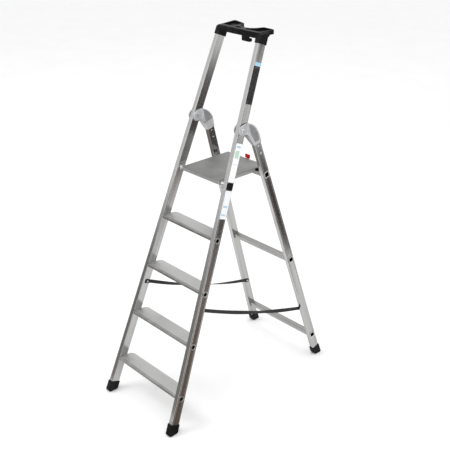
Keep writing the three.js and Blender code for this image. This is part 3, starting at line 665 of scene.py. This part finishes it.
# Goes into edit mode with only those edges selected whose middles pass a test.
def startEdges(piece, test):
    select(piece)
    bpy.ops.object.mode_set(mode="EDIT")
    bpy.context.tool_settings.mesh_select_mode = (False, True, False)
    bpy.ops.mesh.select_all(action="DESELECT")
    bpy.ops.object.mode_set(mode="OBJECT")
    mesh = piece.data
    for edge in mesh.edges:
        first, second = (mesh.vertices[index].co for index in edge.vertices)
        edge.select = test((first + second) / 2)
    bpy.ops.object.mode_set(mode="EDIT")


def endEdit():
    bpy.ops.object.mode_set(mode="OBJECT")


def outwards(piece):
    startEdit(piece)
    bpy.ops.mesh.remove_doubles(threshold=meshCare["newMerge"])
    bpy.ops.mesh.normals_make_consistent(inside=False)
    endEdit()


# Puts a piece that was made in its own axes into place, with nothing left on its object.
def settle(piece, axes):
    select(piece)
    piece.matrix_world = axes @ piece.matrix_world
    bpy.ops.object.transform_apply(location=True, rotation=True, scale=True)


def mirroredCopy(piece, name):
    other = piece.copy()
    other.data = piece.data.copy()
    other.name = other.data.name = name
    bpy.context.collection.objects.link(other)
    settle(other, Matrix.Scale(-1, 4, (1, 0, 0)))
    outwards(other)
    return other


def bodyOf(node):
    for body, members in frame["record"]["behaviour"]["bodies"].items():
        if node in members:
            return body


slotOf = {part["node"]: part["material_slot"] for part in frame["record"]["subparts"]}


def dress(piece, material, node):
    piece.data.materials.clear()
    piece.data.materials.append(material)
    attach(piece, bodyOf(node))
    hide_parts(node)


# A copy of a node's mesh with its triangles merged into whole faces and its edges broken.
def finishedCopy(node, name, material, edge=0, segments=2, angle=30, clamp=True):
    mesh = frame["nodes"][node].data.copy()
    piece = bpy.data.objects.new(name, mesh)
    bpy.context.collection.objects.link(piece)
    mesh.name = name
    startEdit(piece)
    bpy.ops.mesh.remove_doubles(threshold=meshCare["nodeMerge"])
    bpy.ops.mesh.dissolve_limited(angle_limit=math.radians(meshCare["flatUnder"]))
    endEdit()
    if edge:
        applyModifier(piece, "BEVEL", width=edge, segments=segments, limit_method="ANGLE",
                      angle_limit=math.radians(angle), use_clamp_overlap=clamp)
    smooth(piece)
    dress(piece, material, node)
    return piece


# A round piece about the X axis, extruded ring by ring: each step is a radius and a place along X.
def turnedPiece(name, steps):
    radius, place = steps[0]
    deselect()
    bpy.ops.mesh.primitive_circle_add(vertices=meshCare["turnedSides"], radius=radius, fill_type="NGON",
                                      location=(place, 0, 0), rotation=(0, math.pi / 2, 0))
    piece = bpy.context.object
    piece.name = piece.data.name = name
    bpy.ops.object.transform_apply(location=True, rotation=True, scale=True)
    bpy.ops.object.mode_set(mode="EDIT")
    bpy.ops.mesh.select_all(action="SELECT")
    for nextRadius, nextPlace in steps[1:]:
        bpy.ops.mesh.extrude_region_move(TRANSFORM_OT_translate={"value": (nextPlace - place, 0, 0)})
        factor = nextRadius / radius
        bpy.ops.transform.resize(value=(1, factor, factor), center_override=(nextPlace, 0, 0))
        radius, place = nextRadius, nextPlace
    endEdit()
    outwards(piece)
    return piece


# Both frames' stiles are one aluminium; the rear stiles' darker colour is painted shade.
stileLook = {"front": (0.52, 0.518, 0.512), "rear": (0.46, 0.457, 0.45), "shine": 0.14}


def makeStiles():
    for side, sign in sides.items():
        for whichFrame in ("front", "rear"):
            node = f"{whichFrame}_stile_{side}"
            material = extrusionFinish(f"extrusion_{whichFrame}_{side}", stileTurn(whichFrame, sign),
                                       stileLook[whichFrame], stileLook["shine"])
            finishedCopy(node, f"{node}_extrusion", material)
    print("stiles done")


def makeTreads():
    for step in range(treads["count"]):
        node = f"tread_{step + 1}"
        along = treads["first"] + treads["pitch"] * step
        tubePoint = frontAxes @ Vector((0, treads["depth"], along))
        finishedCopy(node, f"{node}_extrusion", treadFinish(f"{node}_metal", tubePoint))
    print("treads done")


def makeCrossbars():
    for node in ("crossbar_1", "crossbar_2", "crossbar_3"):
        item = frame["nodes"][node]
        corners = [item.matrix_world @ Vector(corner) for corner in item.bound_box]
        middle = sum(corners, Vector()) / len(corners)
        reach = max(corner.x for corner in corners)
        metal = extrusionFinish(f"{node}_metal", barLook["turn"], barLook["metal"], barLook["shine"],
                                (middle, reach))
        finishedCopy(node, f"{node}_tube", metal)
    print("crossbars done")


# A head's profile is steps of its radius and its rise.
boltHead = {
    "radius": 0.010,
    "rise": 0.0044,
    "shank": 0.006,
    "profile": ((1.0, 0.0), (1.0, 0.28), (0.95, 0.52), (0.80, 0.82), (0.60, 0.98), (0.36, 1.0),
                (0.32, 0.80), (0.12, 0.76)),
}
rivetHead = {
    "radius": 0.005,
    "rise": 0.0024,
    "shank": 0.0024,
    # the end upset on the inside: radius and distance from the end
    "upset": ((0.0018, 0.0), (0.0038, 0.0006), (0.004, 0.0016), (0.0024, 0.0018)),
    "profile": ((1.0, 0.0), (1.0, 0.3), (0.88, 0.62), (0.66, 0.9), (0.44, 1.0), (0.34, 1.0),
                (0.30, 0.62), (0.12, 0.58)),
}


# Domed head with a dimple, on a shank that reaches back to the node's other end.
def domedFastener(node, name, head):
    low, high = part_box(node)
    base = high[0] - head["rise"]
    steps = [(radius, low[0] + place) for radius, place in head.get("upset", ((head["shank"], 0),))]
    steps.append((head["shank"], base))
    steps += [(head["radius"] * radius, base + head["rise"] * place) for radius, place in head["profile"]]
    piece = turnedPiece(name, steps)
    settle(piece, Matrix.Translation((0, (low[1] + high[1]) / 2, (low[2] + high[2]) / 2)))
    smooth(piece)
    return piece


def makeFasteners():
    for kind, head in (("hinge_bolt", boltHead), ("casting_rivet_upper", rivetHead),
                       ("casting_rivet_lower", rivetHead)):
        right = domedFastener(f"{kind}_right", f"{kind}_right_domed", head)
        left = mirroredCopy(right, f"{kind}_left_domed")
        smooth(left)
        dress(right, finishes["zinc"], f"{kind}_right")
        dress(left, finishes["zinc"], f"{kind}_left")
    print("fasteners done")


plugLook = {"edge": 0.0008, "spacerEdge": 0.0006}


def makePlugs():
    for side in sides:
        node = f"platform_pivot_plug_{side}"
        finishedCopy(node, f"{node}_moulded", finishes["plastic"], plugLook["edge"])
        node = f"platform_pivot_spacer_{side}"
        finishedCopy(node, f"{node}_turned", finishes["zinc"], plugLook["spacerEdge"])
    print("plugs done")


# Lengths in metres: rivets in each frame's own axes, then the webbing and how it hangs.
strap = {
    "frontRivet": (0.028, 0.603),
    "rearRivet": (0.066, -1.105),
    "length": 0.755,
    "width": 0.018,
    "thick": 0.0013,
    "crown": 0.00022,           # how much the woven face swells
    "edgeThin": 0.45,           # thickness left at its two edges
    "sag": 0.020,
    "tail": 0.013,
    "held": 0.024,              # lies flat against the stile on each side of a rivet
    "freeFrom": 1.6,            # where its free part starts, in held lengths
    "offFace": 0.0010,
    "rings": 132,
    "section": (-1, -0.94, -0.8, -0.5, -0.17, 0.17, 0.5, 0.8, 0.94, 1),
    "smoothUnder": 50,
    "twist": {"right": (0.58, 0.16, 66), "left": (0.52, 0.2, 66)},   # middle, spread, degrees
    "twistRise": 8,             # how soon the twist may grow from either end
}


def innerFace(whichFrame, place):
    axes = frontAxes if whichFrame == "front" else rearAxes
    along = (axes.inverted() @ Vector(place)).z
    half = ladder["frontHalf"] if whichFrame == "front" else ladder["rearHalf"]
    return half - along * math.tan(ladder["taper"]) - ladder["stileWidth"] / math.cos(ladder["taper"])


# Middle line of a strap, its width's direction at each ring, and how far along it each ring is.
def strapRoute(side):
    start = frontAxes @ Vector((0, *strap["frontRivet"]))
    end = rearAxes @ Vector((0, *strap["rearRivet"]))
    length = (end - start).length
    along = (end - start) / length
    upright = Vector((0, -along.z, along.y))
    middle, spread, degrees = strap["twist"][side]
    path, widths, stations = [], [], []
    whole = length + 2 * strap["tail"]
    for ring in range(strap["rings"] + 1):
        travelled = whole * ring / strap["rings"] - strap["tail"]
        free = min(max((travelled - strap["held"]) / (length - 2 * strap["held"]), 0), 1)
        bow = free * (1 - free)
        place = start + along * travelled - Vector((0, 0, strap["sag"] * 4 * bow))
        face = innerFace("front", place) * (1 - free) + innerFace("rear", place) * free
        twist = math.exp(-((free - middle) / spread) ** 2 / 2) * min(1, strap["twistRise"] * bow)
        turn = math.radians(degrees) * twist
        path.append(Vector((face - strap["offFace"], place.y, place.z)))
        widths.append(upright * math.cos(turn) - Vector((math.sin(turn), 0, 0)))
        stations.append(travelled)
    return path, widths, stations


# Round the webbing's section once: a place across its width from -1 to 1, and a height off its middle.
def strapSection():
    thick = strap["thick"] / 2

    def rise(step):
        if abs(step) == 1:
            return thick * strap["edgeThin"]
        return thick + strap["crown"] * (1 - step ** 2)

    upper = [(step, rise(step)) for step in strap["section"]]
    lower = [(step, -rise(step)) for step in reversed(strap["section"])]
    return upper + lower


# Rings of the section along the route; the UV map runs in metres along the webbing and across it.
def strapMesh(name, sign, path, widths, stations):
    half = strap["width"] / 2
    section = strapSection()
    count = len(section)
    points, faces, spots = [], [], []
    for index, (middle, width) in enumerate(zip(path, widths)):
        before, after = path[max(index - 1, 0)], path[min(index + 1, len(path) - 1)]
        forward = (after - before).normalized()
        width = (width - forward * width.dot(forward)).normalized()
        outward = width.cross(forward)
        for step, rise in section:
            spot = middle + width * (half * step) + outward * rise
            points.append((spot.x * sign, spot.y, spot.z))
            spots.append((stations[index], half * step))
    for index in range(len(path) - 1):
        for corner in range(count):
            nearCorner, nextCorner = index * count + corner, index * count + (corner + 1) % count
            faces.append((nearCorner, nextCorner, nextCorner + count, nearCorner + count))
    faces.append(tuple(range(count)))
    faces.append(tuple(range(len(points) - count, len(points))))
    mesh = bpy.data.meshes.new(name)
    mesh.from_pydata(points, [], faces)
    layer = mesh.uv_layers.new(name="weave")
    for loop in mesh.loops:
        layer.data[loop.index].uv = spots[loop.vertex_index]
    return mesh


def makeStrap(side):
    node, sign = f"strap_{side}", sides[side]
    name = f"{node}_webbing"
    path, widths, stations = strapRoute(side)
    piece = bpy.data.objects.new(name, strapMesh(name, sign, path, widths, stations))
    bpy.context.collection.objects.link(piece)
    outwards(piece)
    select(piece)
    bpy.ops.object.shade_smooth_by_angle(angle=math.radians(strap["smoothUnder"]))
    piece.data.materials.append(finishes["webbing"])
    heldPart = strap["freeFrom"] * strap["held"] / (stations[-1] - stations[0])
    firstFree, lastFree = (int(part * strap["rings"]) for part in (heldPart, 1 - heldPart))
    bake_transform(piece)
    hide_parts(node)


webbingLook = {
    "ribPitch": 0.0015,
    "ribSway": (0.003, 1.2),          # pitch of the ribs' zigzag, and how far it goes
    "yarnPitch": 0.0012,
    "ribPart": 0.5,
    "yarnPart": 0.3,
    "weaveSpread": (0.0, 1.2),
    "weaveShades": ((0.006, 0.006, 0.0065), (0.022, 0.022, 0.023)),
    "stitches": (0.006, 0.7218),      # rows of stitching, along from the front rivet
    "stitchHalf": 0.0009,
    "dashPitch": 0.0026,
    "dashFrom": -0.2,
    "thread": (0.09, 0.09, 0.09),
    "dust": (70, 4, 0.6),
    "dustSpread": (0.5, 0.8, 0.0, 0.4),
    "dustShade": (0.05, 0.048, 0.045),
    "rough": 0.62,
    "dustRough": 0.2,
    "relief": 0.00012,
}


# Woven polyester: slanting ribs, fine yarns, two rows of stitches and dust.
def webbingFinish():
    look = webbingLook
    finish = Finish("webbing", {"Specular IOR Level": 0.25, "Sheen Weight": 0.15, "Sheen Roughness": 0.5})
    place = finish.node("ShaderNodeUVMap", {"uv_map": "weave"}, {})
    along, across = (finish.split(place, axis) for axis in "XY")
    swayPitch, sway = look["ribSway"]
    ribs = (along * (math.tau / look["ribPitch"]) + (across * (math.tau / swayPitch)).wave() * sway).wave()
    yarns = (across * (math.tau / look["yarnPitch"])).wave()
    weave = ribs * look["ribPart"] + yarns * look["yarnPart"] + 0.5
    dust = finish.noise(finish.places(), *look["dust"])
    shade = finish.tint(finish.range(weave, *look["weaveSpread"]), *look["weaveShades"])
    nearRow, farRow = ((along - row).size().below(look["stitchHalf"]) for row in look["stitches"])
    dashes = (across * (math.tau / look["dashPitch"])).wave().above(look["dashFrom"])
    shade = finish.tint((nearRow + farRow) * dashes, shade, look["thread"])
    finish.feed("Base Color", finish.tint(finish.range(dust, *look["dustSpread"]), shade, look["dustShade"]))
    finish.feed("Roughness", look["rough"] + look["dustRough"] * dust)
    finish.feed("Normal", finish.relief(weave, look["relief"]))
    return finish.material


def makeCastings():
    for side in sides:
        node = f"hinge_casting_{side}"
        finishedCopy(node, f"{node}_cast", finishes["casting"], castingLook["edge"],
                     castingLook["edgeSteps"], castingLook["edgeAngle"], False)
    print("castings done")


footLook = {
    "soleBelow": 0.013,
    "round": 0.0045,
    "roundSteps": 4,
    "edge": 0.0012,
    "edgeSteps": 2,
    "edgeAngle": 35,
}


# Each moulded shoe has its sole's edges rolled under.
def makeFeet():
    for side in sides:
        for whichFrame in ("front", "rear"):
            node = f"{whichFrame}_foot_{side}"
            piece = finishedCopy(node, f"{node}_moulded", finishes["rubber"])
            startEdges(piece, lambda place: place.z < footLook["soleBelow"])
            bpy.ops.mesh.bevel(offset=footLook["round"], segments=footLook["roundSteps"], clamp_overlap=True)
            endEdit()
            applyModifier(piece, "BEVEL", width=footLook["edge"], segments=footLook["edgeSteps"],
                          limit_method="ANGLE", angle_limit=math.radians(footLook["edgeAngle"]),
                          use_clamp_overlap=True)
            smooth(piece)
    print("feet done")


# Bands along the stile from its foot, in metres: start, end, colour; every mark is a plain patch.
labels = {
    "band_label": ((1.70, 1.80, (0.33, 0.60, 0.80)), (1.7335, 1.7350, (0.62, 0.78, 0.88))),
    "name_label": ((1.50, 1.80, (0.010, 0.010, 0.011)), (1.5595, 1.5610, (0.16, 0.16, 0.165)),
                   (1.7225, 1.7240, (0.16, 0.16, 0.165))),
    "instruction_label": ((1.0, 1.5, (0.90, 0.915, 0.935)), (1.364, 1.374, (0.40, 0.62, 0.78)),
                          (1.318, 1.352, (0.48, 0.66, 0.55)), (1.2895, 1.2910, (0.42, 0.46, 0.50)),
                          (1.2295, 1.2310, (0.46, 0.49, 0.52))),
    "lower_label": ((0.9, 1.3, (0.84, 0.86, 0.89)), (1.092, 1.101, (0.42, 0.56, 0.72)),
                    (1.054, 1.063, (0.44, 0.58, 0.73))),
}


def makeLabels():
    for node, bands in labels.items():
        material = labelFinish(f"{node}_film", bands)
        finishedCopy(node, f"{node}_film", material)
    print("labels done")


restLook = {
    # by material slot: the finish, and the width of its broken edges
    "stile_aluminium": ("bar", 0),
    "tread_aluminium": ("bar", 0),
    "deck_aluminium": ("deck", 0.0007),
    "cast_aluminium": ("casting", 0.0011),
    "zinc_steel": ("zinc", 0),
    "black_plastic": ("plastic", 0.001),
    "foot_rubber": ("rubber", 0.0012),
    "red_plastic": ("red", 0.0008),
}


# Gives every node that nothing has replaced yet a finished copy in its slot's material.
def makeRest():
    for node, item in frame["nodes"].items():
        if not item.hide_render:
            kind, edge = restLook[slotOf[node]]
            finishedCopy(node, f"{node}_made", finishes[kind], edge)
    print("other pieces done")


makeCamera()
makeFloor()
makeLight()
makeSurroundings()
print("camera and studio done")
finishes = {
    "bar": extrusionFinish("extrusion_across", barLook["turn"], barLook["metal"], barLook["shine"]),
    "deck": deckFinish(),
    "casting": castingFinish(),
    "zinc": zincFinish(),
    "webbing": webbingFinish(),
    "plastic": plasticFinish("plastic"),
    "rubber": plasticFinish("rubber"),
    "red": plasticFinish("red"),
}
for side in sides:
    makeStrap(side)
print("straps done")
makeStiles()
makeTreads()
makeCrossbars()
makeFasteners()
makePlugs()
makeCastings()
makeFeet()
makeLabels()
makeRest()
